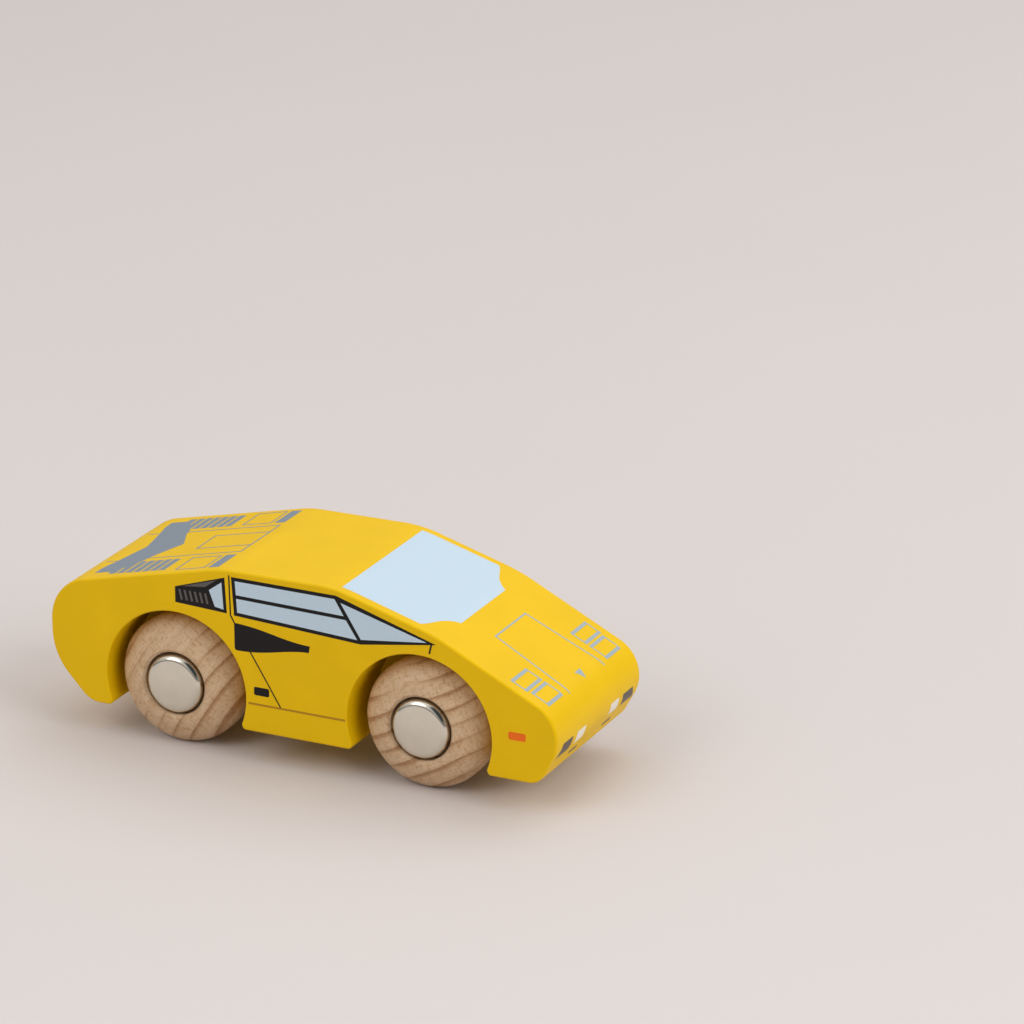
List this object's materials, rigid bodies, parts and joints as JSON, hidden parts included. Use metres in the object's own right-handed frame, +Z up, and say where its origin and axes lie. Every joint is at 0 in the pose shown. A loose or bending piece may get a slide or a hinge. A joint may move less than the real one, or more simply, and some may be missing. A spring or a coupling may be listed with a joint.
{
  "type": "wooden toy car",
  "caption": "Wedge-shaped wooden toy sports car: a painted solid body on beech wheels that roll freely on steel axles under polished push-on caps.",
  "frame": {"origin": "centre of the car's box, on the ground under the wheels", "axes": "+X towards the nose, +Y to the car's left, +Z up"},
  "size_m": [0.1244, 0.044, 0.0448],
  "materials": {
    "yellow_paint": "satin yellow paint on wood",
    "beech": "bare fine-sanded beech",
    "polished_steel": "polished plated steel",
    "axle_steel": "plain drawn steel"
  },
  "bodies": {
    "car": {"car_body": "yellow_paint"},
    "front_axle_set": {"front_axle": "axle_steel", "front_left_cap": "polished_steel", "front_left_star_washer": "axle_steel", "front_right_cap": "polished_steel", "front_right_star_washer": "axle_steel"},
    "front_left_wheel": {"front_left_wheel": "beech"},
    "front_right_wheel": {"front_right_wheel": "beech"},
    "rear_axle_set": {"rear_axle": "axle_steel", "rear_left_cap": "polished_steel", "rear_left_star_washer": "axle_steel", "rear_right_cap": "polished_steel", "rear_right_star_washer": "axle_steel"},
    "rear_left_wheel": {"rear_left_wheel": "beech"},
    "rear_right_wheel": {"rear_right_wheel": "beech"}
  },
  "joints": [
    {"name": "front_axle_turn", "type": "hinge", "parent": "car", "child": "front_axle_set", "pos_m": [0.02915, 0, 0.015], "axis": [0, 1, 0], "continuous": true},
    {"name": "front_left_wheel_spin", "type": "hinge", "parent": "front_axle_set", "child": "front_left_wheel", "pos_m": [0.02915, 0, 0.015], "axis": [0, 1, 0], "continuous": true},
    {"name": "front_right_wheel_spin", "type": "hinge", "parent": "front_axle_set", "child": "front_right_wheel", "pos_m": [0.02915, 0, 0.015], "axis": [0, 1, 0], "continuous": true},
    {"name": "rear_axle_turn", "type": "hinge", "parent": "car", "child": "rear_axle_set", "pos_m": [-0.0316, 0, 0.015], "axis": [0, 1, 0], "continuous": true},
    {"name": "rear_left_wheel_spin", "type": "hinge", "parent": "rear_axle_set", "child": "rear_left_wheel", "pos_m": [-0.0316, 0, 0.015], "axis": [0, 1, 0], "continuous": true},
    {"name": "rear_right_wheel_spin", "type": "hinge", "parent": "rear_axle_set", "child": "rear_right_wheel", "pos_m": [-0.0316, 0, 0.015], "axis": [0, 1, 0], "continuous": true}
  ]
}
